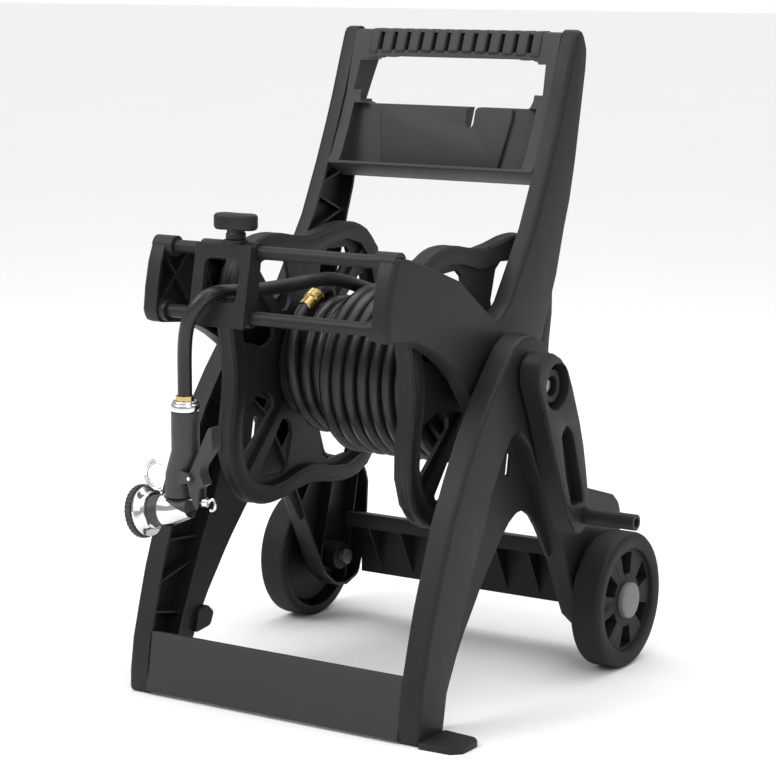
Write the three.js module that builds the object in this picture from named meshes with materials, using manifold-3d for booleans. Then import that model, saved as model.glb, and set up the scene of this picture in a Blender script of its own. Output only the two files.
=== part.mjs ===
// Garden hose reel cart: moulded side frames, a lobed reel, a traversing hose guide and a spray nozzle.
// Millimetres. +X is the crank side, +Y is the wheel side, +Z is up, and the floor is z = 0.
import * as THREE from "three";
import { mergeVertices } from "three/addons/utils/BufferGeometryUtils.js";
import Module from "manifold-3d";

const wasm = await Module();
wasm.setup();

// ---- driving dimensions -------------------------------------------------------------------------
const GAP = 0.4; // clearance left between two pieces that rest on each other
const RUN = 0.6; // radial running clearance of a turning or sliding piece
const WALL = 4; // wall of the large mouldings
const SOFT_TURN = 0.45; // outline corners turning less than this stay unrounded, in radians

const FRAME_IN = 166; // half width between the side frames
const FRAME_OUT = 190; // outer face of a side frame
const LEG_IN = 199; // inner edge of a leg moulding
const PIVOT_IN = FRAME_OUT + GAP; // inner end of the bosses that carry a leg on its side frame
const LEG_OUT = 230; // outer face of a leg moulding
const HANDLE_TOP = 876; // top of the handle above the floor
const FOOT_Y = -218; // front of the feet
const PLATE_OUT = LEG_OUT + 58; // outer edge of the step plate on the crank side
const PLATE_T = 8; // thickness of the step plate

const WHEEL_R = 95;
const WHEEL_W = 44;
const WHEEL_IN = LEG_OUT + 8; // inner face of a wheel
const AXLE_Y = 250;
const AXLE_R = 6;

const REEL_Y = 67; // reel axis
const REEL_Z = 420;
const FLANGE_X = 140; // middle plane of each flange
const FLANGE_W = 26; // rim width
const LOBE_R = 200; // mean radius of the lobed rim
const LOBE_A = 26; // how far the lobes stand out from the mean
const RIM_T = 26; // radial thickness of the rim
const DRUM_R = 76.6;
const SHAFT_R = 17;

const HOSE_R = 9.5;
const COIL_X0 = -81; // end of the winding on the inlet side
const COIL_X1 = 125; // end of the winding on the crank side
const COIL_R = 115; // outside of the second layer
const LAYER_EDGE = -32; // where the second layer of turns stops and the free end leaves it

const CRANK_IN = LEG_OUT + 5; // inner face of the crank arm
const CRANK_T = 29;
const CRANK_R = 205; // reel axis to grip axis
const CRANK_TILT = -66.5; // angle of the arm at rest, from +Y towards +Z
const GRIP_R = 11;
const GRIP_END = CRANK_IN + 106;
const CAP_OUT = WHEEL_IN + WHEEL_W + 3; // outer face of a hub cap

const BAR_R = 8.7;
const BAR_HI = { y: -195, z: 603 };
const BAR_LO = { y: -212, z: 521 };
const GUIDE_X = -68; // middle of the hose guide at rest
const GUIDE_W = 87;
const NOZZLE = { x: -106, y: -248, z: 398 }; // top of the nozzle grip

// The origin is the middle of the base of the cart without its hose.
const SHIFT_X = -(GRIP_END - CAP_OUT) / 2;
const GUIDE_FRONT = BAR_LO.y - 22;
const SHIFT_Y = -(AXLE_Y + WHEEL_R + GUIDE_FRONT) / 2;

// ---- colours ------------------------------------------------------------------------------------
const finish = (color, roughness, metalness = 0) => ({ color, roughness, metalness });
const DARK = finish(0x242527, 0.55);
const GREY = finish(0x3b3d40, 0.6);
const CAP_GREY = finish(0x77797c, 0.5);
const NOZZLE_GREY = finish(0x4a4d50, 0.5);
const HOSE = finish(0x121315, 0.3);
const CHROME = finish(0xc9ccd0, 0.15, 1);
const STEEL = finish(0x9a9da1, 0.35, 1);
const BRASS = finish(0xc59a45, 0.3, 1);
const GREEN_GREY = finish(0x3c4a42, 0.6);
const WHITE = finish(0xdcdcd8, 0.5);

const root = new THREE.Group();

// ---- geometry helpers ---------------------------------------------------------------------------
function solid(geometry) {
  const flat = geometry.index ? geometry.toNonIndexed() : geometry;
  const bare = new THREE.BufferGeometry();
  bare.setAttribute("position", flat.getAttribute("position"));
  const merged = mergeVertices(bare, 1e-3);
  const vertProperties = new Float32Array(merged.attributes.position.array);
  const triVerts = new Uint32Array(merged.index.array);
  return new wasm.Manifold(new wasm.Mesh({ numProp: 3, vertProperties, triVerts }));
}

function geometryOf(body) {
  const mesh = body.getMesh();
  const geometry = new THREE.BufferGeometry();
  const position = new Float32Array(mesh.vertProperties);
  geometry.setAttribute("position", new THREE.BufferAttribute(position, 3));
  geometry.setIndex(new THREE.BufferAttribute(new Uint32Array(mesh.triVerts), 1));
  const flat = geometry.toNonIndexed();
  flat.computeVertexNormals();
  return flat;
}

function add(name, body, look) {
  const material = new THREE.MeshStandardMaterial(look);
  const mesh = new THREE.Mesh(geometryOf(body), material);
  mesh.name = name;
  root.add(mesh);
}

// A closed outline with its sharp corners rounded to the given radius.
function outline(points, radius = 0, steps = 2) {
  const shape = new THREE.Shape();
  const corners = points.map(([a, b]) => new THREE.Vector2(a, b));
  corners.forEach((corner, i) => {
    const before = corners[(i + corners.length - 1) % corners.length];
    const after = corners[(i + 1) % corners.length];
    const inward = corner.clone().sub(before);
    const turn = Math.abs(inward.angleTo(after.clone().sub(corner)));
    const cut = (other) => Math.min(radius, 0.45 * corner.distanceTo(other));
    const sharp = radius > 0 && turn > SOFT_TURN;
    const p = sharp ? corner.clone().lerp(before, cut(before) / corner.distanceTo(before)) : corner;
    const q = corner.clone().lerp(after, cut(after) / corner.distanceTo(after));
    if (i === 0) shape.moveTo(p.x, p.y);
    else shape.lineTo(p.x, p.y);
    if (sharp) shape.quadraticCurveTo(corner.x, corner.y, q.x, q.y);
  });
  shape.closePath();
  return shape.getPoints(steps);
}

const loop = (points) => points.map((p) => (Array.isArray(p) ? p : [p.x, p.y]));

// Extrudes a flat outline; the area can be grown or shrunk first.
function slab(points, thickness, grow = 0) {
  let area = new wasm.CrossSection([loop(points)], "Positive");
  if (area.area() === 0) area = new wasm.CrossSection([loop(points).reverse()], "Positive");
  if (grow !== 0) area = area.offset(grow, "Miter");
  return area.extrude(thickness);
}

// The outline is in (y, z) and the slab runs from x0 to x1.
function slabX(points, x0, x1, grow = 0) {
  return slab(points, x1 - x0, grow).transform([0, 1, 0, 0, 0, 0, 1, 0, 1, 0, 0, 0, x0, 0, 0, 1]);
}

// The outline is in (x, z) and the slab runs from y0 to y1.
function slabY(points, y0, y1, grow = 0) {
  return slab(points, y1 - y0, grow).transform([1, 0, 0, 0, 0, 0, 1, 0, 0, -1, 0, 0, 0, y1, 0, 1]);
}

function box(x0, x1, y0, y1, z0, z1) {
  const g = new THREE.BoxGeometry(x1 - x0, y1 - y0, z1 - z0);
  g.translate((x0 + x1) / 2, (y0 + y1) / 2, (z0 + z1) / 2);
  return solid(g);
}

function turned(profile, segments) {
  const closed = profile.map(([r, h]) => new THREE.Vector2(r, h));
  return solid(new THREE.LatheGeometry(closed, segments));
}

// A profile of [radius, distance along X] pairs spun about the line through (y, z).
function spinX(profile, y, z, segments = 32) {
  const body = turned(profile.map(([r, x]) => [r, x]), segments);
  return body.rotate([0, 0, -90]).translate([0, y, z]);
}

function discX(r, x0, x1, y, z, segments = 32) {
  return spinX([[0, x0], [r, x0], [r, x1], [0, x1]], y, z, segments);
}

function ringX(ri, ro, x0, x1, y, z, segments = 32) {
  return spinX([[ri, x0], [ro, x0], [ro, x1], [ri, x1], [ri, x0]], y, z, segments);
}

// A profile of [radius, height] pairs spun about the vertical line through (x, y).
function spinZ(profile, x, y, segments = 24) {
  return turned(profile, segments).rotate([90, 0, 0]).translate([x, y, 0]);
}

function discZ(r, z0, z1, x, y, segments = 24) {
  return spinZ([[0, z0], [r, z0], [r, z1], [0, z1]], x, y, segments);
}

function discY(r, y0, y1, x, z, segments = 20) {
  return turned([[0, y0], [r, y0], [r, y1], [0, y1]], segments).translate([x, 0, z]);
}

// A profile of [radius, distance] pairs spun about the line that starts at a point
// and runs along a direction.
function spinAlong(profile, start, direction, segments = 24) {
  const points = profile.map(([r, h]) => new THREE.Vector2(r, h));
  const geometry = new THREE.LatheGeometry(points, segments);
  const up = new THREE.Vector3(0, 1, 0);
  const toward = new THREE.Vector3(...direction).normalize();
  geometry.applyQuaternion(new THREE.Quaternion().setFromUnitVectors(up, toward));
  geometry.translate(...start);
  return solid(geometry);
}

function sweep(points, radius, sides, steps) {
  const path = new THREE.CatmullRomCurve3(points.map((p) => new THREE.Vector3(...p)));
  const ring = new THREE.Shape();
  for (let i = 0; i < sides; i++) {
    const a = (2 * Math.PI * i) / sides;
    const x = radius * Math.cos(a);
    const y = radius * Math.sin(a);
    if (i === 0) ring.moveTo(x, y);
    else ring.lineTo(x, y);
  }
  ring.closePath();
  return solid(new THREE.ExtrudeGeometry(ring, { steps, extrudePath: path, bevelEnabled: false }));
}

const union = (list) => wasm.Manifold.union(list);
const mirrored = (body) => body.mirror([1, 0, 0]);

// ---- side frames: upright, bearing web and forward arm in one moulding -----------------------------
const SIDE_OUTLINE = [
  [-224, 506], [-229, 522], [-225, 552], [-217, 585], [-205, 613],
  [-170, 605], [-118, 589], [-52, 566], [-8, 535], [38, 504], [67, 525],
  [93, 561], [132, 617], [168, 688], [193, 742], [209, 780], [231, 838], [246, HANDLE_TOP],
  [263, HANDLE_TOP], [276, 850], [273, 822], [265, 785], [247, 699], [233, 647], [219, 611],
  [198, 547], [158, 464], [128, 405], [92, 368], [40, 362], [-8, 384], [-30, 412],
  [-50, 436], [-72, 455], [-100, 473], [-130, 488], [-162, 499],
];

function rib(y0, z0, y1, z1, x0, x1, width = 3) {
  const dy = y1 - y0;
  const dz = z1 - z0;
  const k = width / 2 / Math.hypot(dy, dz);
  const a = [y0 - dz * k, z0 + dy * k];
  const b = [y1 - dz * k, z1 + dy * k];
  const c = [y1 + dz * k, z1 - dy * k];
  const d = [y0 + dz * k, z0 - dy * k];
  return slabX([a, d, c, b], x0, x1);
}

const ARM_RIBS = [
  [-205, 600, -120, 485], [-222, 520, -140, 600], [-120, 590, -60, 440],
  [-130, 480, -40, 570], [-40, 565, 0, 380], [40, 505, 90, 365],
];
const UPRIGHT_RIBS = [
  [80, 540, 200, 560], [190, 540, 105, 580], [110, 585, 225, 620], [225, 610, 145, 645],
  [150, 655, 240, 680], [245, 680, 175, 705], [180, 720, 255, 745], [262, 770, 195, 775],
  [205, 790, 272, 815], [272, 830, 225, 850],
];

function sideFrame() {
  const points = outline(SIDE_OUTLINE, 9);
  const floor = FRAME_OUT - WALL;
  const pocket = slabX(points, FRAME_IN - 1, floor, -WALL);
  const whole = slabX(points, FRAME_IN, FRAME_OUT);
  const ribs = [...ARM_RIBS, ...UPRIGHT_RIBS].map((r) => rib(...r, FRAME_IN + 6, floor + 1));
  const boss = discX(SHAFT_R + 18, FRAME_IN, floor + 1, REEL_Y, REEL_Z, 28);
  const sockets = [BAR_HI, BAR_LO].map((b) => discX(BAR_R + 5, FRAME_IN - 10, floor + 1, b.y, b.z, 24));
  const inside = union([...ribs, boss]).intersect(whole);
  const body = union([whole.subtract(pocket), inside, ...sockets]);
  const bores = [BAR_HI, BAR_LO].map((b) =>
    discX(BAR_R + GAP, FRAME_IN - 11, floor - 3, b.y, b.z, 24),
  );
  const shaft = discX(SHAFT_R + 5 + GAP, FRAME_IN - 2, FRAME_OUT + 2, REEL_Y, REEL_Z, 28);
  return body.subtract(union([...bores, shaft]));
}

// ---- legs: front leg, rear leg and wheel plate in one moulding --------------------------------------
const LEG_BAND = [
  [FOOT_Y, 0], [-217, 30], [-210, 73], [-197, 118], [-182, 166], [-163, 214], [-139, 272],
  [-112, 320], [-80, 372], [-45, 416], [-8, 456], [12, 476], [36, 487], [62, 487], [90, 474],
  [114, 453], [150, 395], [185, 318], [207, 258], [300, 230], [316, 217], [323, 196], [320, 150],
  [308, 90], [296, 58], [264, 48], [236, 52], [205, 75], [186, 110], [168, 145], [140, 200],
  [105, 262], [62, 335], [30, 362], [8, 355], [-22, 315], [-41, 286], [-60, 240], [-88, 189],
  [-118, 125], [-145, 65], [-158, 0],
];
const LEG_WEB = [
  [-170, 0], [-130, 0], [-120, 32], [-111, 51], [-91, 87], [-74, 112], [-56, 134], [-36, 159],
  [-16, 182], [19, 218], [40, 236], [60, 246], [78, 246], [97, 235], [115, 215], [150, 165],
  [170, 180], [110, 300], [40, 400], [-20, 400], [-100, 250], [-170, 60],
];
const WEB_X0 = 203;
const WEB_X1 = 208;
const LEG_RIBS = [
  [-215, 60, -130, 60], [-210, 110, -120, 90], [-195, 140, -100, 160], [-180, 200, -70, 190],
  [-150, 240, -50, 270], [-110, 320, -30, 290], [-70, 390, 0, 340], [120, 440, 60, 330],
  [170, 350, 100, 270], [215, 260, 150, 180], [250, 245, 200, 70], [310, 220, 270, 50],
];

function leg(hook) {
  const points = outline(LEG_BAND, 7);
  const floor = LEG_OUT - WALL;
  const whole = slabX(points, LEG_IN, LEG_OUT);
  const pocket = slabX(points, LEG_IN - 1, floor, -WALL);
  const ribs = union(LEG_RIBS.map((r) => rib(...r, LEG_IN + 8, floor + 1))).intersect(whole);
  const web = slabX(outline(LEG_WEB, 6), WEB_X0, WEB_X1).subtract(pocket);
  const hub = discX(AXLE_R + 14, LEG_IN, floor + 1, AXLE_Y, WHEEL_R, 28);
  const shaftBoss = discX(SHAFT_R + 12, PIVOT_IN, floor + 1, REEL_Y, REEL_Z, 28);
  const parts = [whole.subtract(pocket), ribs, web, hub, shaftBoss];
  if (hook) {
    const tab = [[-112, 60], [-78, 64], [-70, 81], [-84, 94], [-104, 90]];
    parts.push(slabX(outline(tab, 4), WEB_X0 - 6, WEB_X1));
  }
  const slot = slabX(outline([[28, 300], [40, 300], [46, 334], [36, 340]], 4), LEG_IN - 2, WEB_X1 + 2);
  const cuts = union([
    slot,
    discX(AXLE_R + GAP, LEG_IN - 2, LEG_OUT + 2, AXLE_Y, WHEEL_R, 24),
    discX(SHAFT_R + RUN + 1, PIVOT_IN - 2, LEG_OUT + 2, REEL_Y, REEL_Z, 28),
  ]);
  return union(parts).subtract(cuts);
}

// ---- handle -------------------------------------------------------------------------------------
const INSERT_HALF = FRAME_IN - GAP;
const WINDOW_HALF = 140.5;
const INSERT_SIDE = [
  [165, 687], [176, 702], [197, 744], [213, 782], [231, 838], [243, HANDLE_TOP - 4],
  [264, HANDLE_TOP - 4], [269, 850], [264, 830], [237, 768], [222, 730], [209, 665],
];
const PANEL_CUT = [[120, 780], [222, 768.5], [199, 683], [197, 676], [150, 700]];
const SLOTS = 12;
const SLOT_SPAN = 240;

function handleInsert() {
  const body = slabX(outline(INSERT_SIDE, 4), -INSERT_HALF, INSERT_HALF);
  const w = WINDOW_HALF;
  const window = slabY(outline([[-w, 768], [w, 768], [w, 835], [-w, 835]], 12), 150, 300);
  const flare = [-1, 1].map((side) => {
    const plan = [[side * w, 270], [side * (w + 13), 215], [side * (w - 20), 215], [side * (w - 20), 270]];
    return slab(plan, 55).translate([0, 0, 774]);
  });
  const front = slabX(PANEL_CUT, -148, 148);
  const notch = slabY(outline([[34, 735], [47, 735], [47, 790], [34, 790]], 5), 150, 300);
  const slots = [];
  for (let i = 0; i < SLOTS; i++) {
    const x = SLOT_SPAN * (i / (SLOTS - 1) - 0.5);
    slots.push(box(x - 3.5, x + 3.5, 225, 256, 844, HANDLE_TOP - 7));
  }
  return body.subtract(union([window, ...flare, front, notch, ...slots]));
}

// ---- crossbars, step plate and axle -----------------------------------------------------------------
function frontCrossbar() {
  const section = [[-220, 4], [-206, 84], [-194, 82], [-194, 77], [-201, 76], [-213, 4]];
  const half = LEG_IN - GAP;
  return slabX(outline(section, 1.5), -half, half);
}

function rearCrossbar() {
  const half = LEG_IN - GAP;
  const section = [[262, 138], [262, 160], [312, 150], [312, 60], [304, 60], [304, 138]];
  const bar = slabX(outline(section, 1.5), -half, half);
  const ribs = [];
  for (let i = -3; i <= 3; i++) {
    ribs.push(slabX([[268, 136], [268, 141], [306, 141], [306, 64]], i * 54 - 1.5, i * 54 + 1.5));
  }
  return union([bar, ...ribs]);
}

function stepPlate() {
  const left = LEG_OUT + GAP;
  const g = outline([[left, FOOT_Y - 3], [PLATE_OUT - 12, FOOT_Y - 1], [PLATE_OUT, -208],
    [PLATE_OUT, -172], [PLATE_OUT - 11, -161], [left, -156]], 2);
  return slab(g, PLATE_T);
}

// ---- reel ---------------------------------------------------------------------------------------
function lobed(inset, count = 36) {
  const points = [];
  for (let i = 0; i < count; i++) {
    const a = (2 * Math.PI * i) / count;
    const r = LOBE_R + LOBE_A * Math.cos(4 * (a - Math.PI / 4)) - inset;
    points.push([REEL_Y + r * Math.cos(a), REEL_Z + r * Math.sin(a)]);
  }
  return points;
}

function polar(r, degrees) {
  const a = THREE.MathUtils.degToRad(degrees);
  return [REEL_Y + r * Math.cos(a), REEL_Z + r * Math.sin(a)];
}

function flange() {
  const half = FLANGE_W / 2;
  const x = FLANGE_X;
  const low = slabX(lobed(2), x - half, x + half);
  const high = slabX(lobed(0), x - half + 3, x + half - 3);
  const inner = slabX(lobed(RIM_T), x - half - 1, x + half + 1);
  const web = slabX(lobed(RIM_T - 2), x - 3, x + 3);
  const hub = discX(SHAFT_R + 24, x - half + 2, x + half - 2, REEL_Y, REEL_Z, 40);
  const openings = [];
  for (let q = 0; q < 4; q++) {
    const mid = 45 + 90 * q;
    for (const side of [-1, 1]) {
      const near = mid + side * 7;
      const far = mid + side * 28;
      const points = [polar(84, mid + side * 9), polar(188, near), polar(158, far), polar(96, far)];
      openings.push(slabX(outline(points, 10, 1), x - 20, x + 20));
    }
  }
  const spokes = [];
  for (let q = 0; q < 4; q++) {
    const [y0, z0] = polar(60, 45 + 90 * q);
    const [y1, z1] = polar(205, 45 + 90 * q);
    spokes.push(rib(y0, z0, y1, z1, x - 8, x + 8, 9));
  }
  const rim = union([low, high]).subtract(inner);
  const plate = web.subtract(union(openings));
  const bore = discX(SHAFT_R + GAP, x - 20, x + 20, REEL_Y, REEL_Z, 28);
  return union([rim, plate, hub, ...spokes]).subtract(bore);
}

function drum() {
  const at = FLANGE_X - FLANGE_W / 2 - GAP;
  const shell = ringX(DRUM_R - WALL, DRUM_R, -at, at, REEL_Y, REEL_Z, 48);
  const walls = [-96, 96].map((x) => ringX(SHAFT_R + GAP, DRUM_R - 2, x - 2, x + 2, REEL_Y, REEL_Z, 28));
  const port = discX(8, -12, 12, 0, 0, 16).rotate([0, 90, 0]).translate([-106, REEL_Y, REEL_Z + DRUM_R]);
  return union([shell, ...walls]).subtract(port);
}

function winding() {
  const first = COIL_R - 2 * HOSE_R - RUN;
  const bottom = DRUM_R + GAP;
  const points = [
    [bottom, COIL_X0], [first - 3, COIL_X0], [first, COIL_X0 + 4], [first, LAYER_EDGE - 1],
    [COIL_R - 4, LAYER_EDGE], [COIL_R, LAYER_EDGE + 4], [COIL_R, COIL_X1 - 5], [COIL_R - 4, COIL_X1],
    [bottom, COIL_X1], [bottom, COIL_X0],
  ];
  return spinX(points, REEL_Y, REEL_Z, 40);
}

// The reel's own outlet: an elbow on the drum, a threaded coupling, and the first length of hose.
const OUTLET_X = -104;
const COUPLING_START = [OUTLET_X, 48, 516.5];
const COUPLING_RUN = [0, -0.88, -0.475];
const COUPLING_LENGTH = 34;

function alongCoupling(distance) {
  return COUPLING_START.map((v, i) => v + distance * COUPLING_RUN[i]);
}

function outletElbow() {
  const foot = DRUM_R + GAP;
  const path = [[OUTLET_X, ...polar(foot - 3, 82)], [OUTLET_X, ...polar(foot + 12, 82)],
    [OUTLET_X, ...polar(foot + 24, 86)], alongCoupling(-12), alongCoupling(-GAP)];
  const seat = discX(foot, OUTLET_X - 20, OUTLET_X + 20, REEL_Y, REEL_Z, 48);
  return sweep(path, 9, 10, 10).subtract(seat);
}

function hoseCoupling() {
  const end = COUPLING_LENGTH;
  const profile = [
    [0, 0], [11.5, 0], [12.5, 2], [12.5, 15], [10.5, 17], [10.5, end - 1], [9, end], [0, end],
  ];
  return spinAlong(profile, COUPLING_START, COUPLING_RUN, 12);
}

function hoseTail() {
  const start = alongCoupling(COUPLING_LENGTH + GAP);
  const next = alongCoupling(COUPLING_LENGTH + 10);
  const points = [start, next];
  for (let i = 0; i <= 5; i++) {
    const t = i / 5;
    const r = THREE.MathUtils.lerp(87, DRUM_R + HOSE_R + GAP, t);
    points.push([OUTLET_X + 12 * t * t, ...polar(r, 136 + 80 * t)]);
  }
  return sweep(points, HOSE_R - 0.2, 8, 16);
}

// ---- crank --------------------------------------------------------------------------------------
const CRANK_OUTLINE = [
  [16, 441], [22, 457], [40, 465], [58, 465], [78, 456], [97, 438], [110, 413], [131, 365],
  [143, 330], [151, 297], [158, 262], [160, 235], [154, 218], [138, 208], [120, 213],
  [101, 241], [69, 311], [38, 386], [19, 424],
];

function crankArm() {
  const points = outline(CRANK_OUTLINE, 5);
  const x1 = CRANK_IN + CRANK_T;
  const whole = slabX(points, CRANK_IN, x1 - 3);
  const face = slabX(points, x1 - 3.5, x1, -1.5);
  const hole = discX(31, CRANK_IN + 7, x1 + 2, REEL_Y, REEL_Z, 24);
  const slot = slabX(outline([[80, 352], [94, 366], [112, 350], [140, 268], [144, 252],
    [110, 252], [94, 295]], 6), CRANK_IN + 10, x1 + 2);
  const hub = ringX(14, 22, CRANK_IN + 6, CRANK_IN + 20, REEL_Y, REEL_Z, 24);
  const stem = discX(12, FRAME_OUT, CRANK_IN + 1, REEL_Y, REEL_Z, 24);
  const pin = discX(PIN_R + GAP, CRANK_IN - 2, x1 + 2, GRIP_Y, GRIP_Z, 24);
  const bolt = discX(5 + GAP, FRAME_OUT - 10, CRANK_IN + 20, REEL_Y, REEL_Z, 16);
  const open = union([whole, face]).subtract(union([hole, slot]));
  return union([open, hub, stem]).subtract(union([pin, bolt]));
}

const PIN_R = 6;
const [GRIP_DY, GRIP_DZ] = [
  CRANK_R * Math.cos(THREE.MathUtils.degToRad(CRANK_TILT)),
  CRANK_R * Math.sin(THREE.MathUtils.degToRad(CRANK_TILT)),
];
const GRIP_Y = REEL_Y + GRIP_DY;
const GRIP_Z = REEL_Z + GRIP_DZ;

function crankGrip() {
  const x0 = CRANK_IN + CRANK_T + GAP;
  return ringX(PIN_R + RUN, GRIP_R, x0, GRIP_END, GRIP_Y, GRIP_Z, 28);
}

function crankBolt() {
  const x = CRANK_IN + 7 + GAP;
  const rod = discX(5, FRAME_OUT - 18, x + 1, REEL_Y, REEL_Z, 16);
  return union([rod, discX(9, x, x + 6, REEL_Y, REEL_Z, 6)]);
}

// ---- inlet on the side away from the crank ---------------------------------------------------------
const INLET_FLANGE = 26;
function inletTube() {
  const face = -(LEG_OUT + GAP);
  const tube = discX(5.2, face - 4, -(FRAME_OUT - 20), REEL_Y, REEL_Z, 24);
  const plate = discX(INLET_FLANGE, face - 5, face, REEL_Y, REEL_Z, 24);
  const spout = discX(10, face - 20, face - 4, REEL_Y, REEL_Z, 24);
  const bore = discX(3, face - 30, 0, REEL_Y, REEL_Z, 16);
  return union([tube, plate, spout]).subtract(bore);
}

function inletNut() {
  const face = -(LEG_OUT + GAP) - 5 - GAP;
  return ringX(10 + RUN, 17, face - 22, face, REEL_Y, REEL_Z, 12);
}

// ---- hose guide ---------------------------------------------------------------------------------
const KNOB_X = GUIDE_X + 9;
function guideBody() {
  const x0 = GUIDE_X - GUIDE_W / 2;
  const x1 = GUIDE_X + GUIDE_W / 2;
  const hi = [BAR_HI.y - 18, BAR_HI.z + 10];
  const lo = [BAR_LO.y - 22, BAR_LO.z - 12];
  const plate = [hi, lo, [lo[0] + 6, lo[1] - 1], [hi[0] + 6, hi[1] - 1]];
  const front = slabX(plate, x0, x1);
  const sleeves = [BAR_HI, BAR_LO].map((b) => discX(BAR_R + 4.5, x0, x1, b.y, b.z, 24));
  const links = [BAR_HI, BAR_LO].map((b) => box(x0, x1, b.y - 17, b.y, b.z - 5, b.z + 5));
  const sides = [[x0, x0 + 4], [x1 - 4, x1]].map(([a, b]) =>
    slabX([[hi[0] + 3, hi[1] - 4], [lo[0] + 3, lo[1] + 4], [BAR_LO.y + 6, BAR_LO.z - 8],
      [BAR_HI.y + 6, BAR_HI.z + 8]], a, b),
  );
  const opening = [[x0 + 17, 540], [x1 - 15, 540], [x1 - 15, 595], [x0 + 17, 595]];
  const window = slabY(outline(opening, 9), -260, -180);
  const seat = discZ(16, BAR_HI.z + 8, BAR_HI.z + 15, KNOB_X, BAR_HI.y - 4, 28);
  const bores = [BAR_HI, BAR_LO].map((b) => discX(BAR_R + RUN, x0 - 2, x1 + 2, b.y, b.z, 24));
  const hole = discZ(5 + GAP, BAR_HI.z + 11, BAR_HI.z + 20, KNOB_X, BAR_HI.y - 4, 20);
  return union([front, ...sleeves, ...links, ...sides, seat]).subtract(union([window, ...bores, hole]));
}

function guideKnob() {
  const x = KNOB_X;
  const y = BAR_HI.y - 4;
  const z = BAR_HI.z + 15 + GAP;
  const tang = discZ(5, z - 3.5, z + 1, x, y, 20);
  const stem = discZ(13, z, z + 13, x, y, 24);
  const lobes = [-16.5, 16.5].map((d) => discZ(15, z + 12, z + 33, x + d, y, 24));
  const bridge = box(x - 16.5, x + 16.5, y - 11, y + 11, z + 12, z + 31);
  return union([tang, stem, ...lobes, bridge]);
}

// ---- wheel --------------------------------------------------------------------------------------
function wheel() {
  const a = WHEEL_IN;
  const b = WHEEL_IN + WHEEL_W;
  const rim = spinX([[WHEEL_R - 12, a + 2], [WHEEL_R - 4, a], [WHEEL_R, a + 5], [WHEEL_R, b - 6],
    [WHEEL_R - 5, b], [WHEEL_R - 22, b], [WHEEL_R - 24, b - 4], [WHEEL_R - 12, b - 8],
    [WHEEL_R - 12, a + 2]], AXLE_Y, WHEEL_R, 32);
  const face = ringX(22, WHEEL_R - 8, b - 13, b - 8, AXLE_Y, WHEEL_R, 32);
  const hub = ringX(AXLE_R + 3 + RUN, 24, a + 1, b - 8, AXLE_Y, WHEEL_R, 32);
  const windows = [];
  for (let i = 0; i < 6; i++) {
    const at = (r, d) => {
      const t = THREE.MathUtils.degToRad(60 * i + d);
      return [AXLE_Y + r * Math.cos(t), WHEEL_R + r * Math.sin(t)];
    };
    const points = [at(34, -12), at(72, -19), at(75, 0), at(72, 19), at(34, 12)];
    windows.push(slabX(outline(points, 5, 1), b - 20, b + 2));
  }
  return union([union([rim, face]).subtract(union(windows)), hub]);
}

function hubCap() {
  const x = WHEEL_IN + WHEEL_W - 8 + GAP;
  const r = 24.5;
  const points = [[0, x], [r, x], [r, CAP_OUT - 3], [r - 3, CAP_OUT], [0, CAP_OUT]];
  return spinX(points, AXLE_Y, WHEEL_R, 32);
}

function axlePin() {
  const pin = discX(AXLE_R, LEG_IN - 8, WHEEL_IN + WHEEL_W - 9, AXLE_Y, WHEEL_R, 24);
  return union([pin, discX(11, LEG_IN - 12, LEG_IN - 7, AXLE_Y, WHEEL_R, 24)]);
}

// ---- hose and nozzle --------------------------------------------------------------------------------
const LEAD_END = NOZZLE.z + 16;
const LEAD_PATH = [
  [-44, 85, 524], [-45, 75, 527], [-48, 34, 540], [-51, -2, 547], [-54, -39, 548],
  [-57, -74, 547], [-60.5, -122, 547], [-63, -159, 547.5], [-67, -205, 551],
  [-71, -226, 551.5], [-77, -241, 547], [-86, -249, 535], [-95, -252, 518], [-101, -251, 500],
  [-105, -249, 475], [NOZZLE.x, NOZZLE.y, 445], [NOZZLE.x, NOZZLE.y, LEAD_END],
];

// The spray head's axis leans down from the middle of the barrel.
const HEAD_MID = [-120, NOZZLE.y, 268.5];
const HEAD_TILT = THREE.MathUtils.degToRad(9.5);
const HEAD_RUN = [-Math.cos(HEAD_TILT), 0, -Math.sin(HEAD_TILT)];
const BARREL_END = -21;
const SLEEVE_END = 19;
const NECK_END = 37;
const DISH_END = 52;
const RING_END = 62;
const GRIP_HALF = 18.5; // radius of the nozzle grip
const TRIGGER_PIN = [-92, 314];
const TRIGGER_HALF = 9;
const STEM_Z = 283;
const TRIGGER_OUTLINE = [
  [-63, 382], [-58, 384], [-57, 355], [-67, 342], [-76, 330], [-77, 320], [-70, 306],
  [-80, 302], [-80, 288], [-84, 272], [-90, 284], [-96, 301], [-100, 313], [-90, 327],
  [-82, 342], [-75, 358],
];

function alongHead(profile, segments = 24) {
  return spinAlong(profile, HEAD_MID, HEAD_RUN, segments);
}

function ring(r0, r1, from, to) {
  return [[0, from], [r0, from], [r1, to], [0, to]];
}

function headBarrel() {
  return alongHead([
    [0, BARREL_END], [13, BARREL_END], [20, 3], [21.5, 10], [21.5, SLEEVE_END], [0, SLEEVE_END],
  ]);
}

// The half space above the slanted line where the grip cover ends and bare metal begins.
function aboveSlant(drop) {
  const line = [[-170, 300 - drop], [-84, 262 - drop], [-60, 262 - drop], [-60, 420], [-170, 420]];
  return slabY(line, NOZZLE.y - 40, NOZZLE.y + 40);
}

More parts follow.
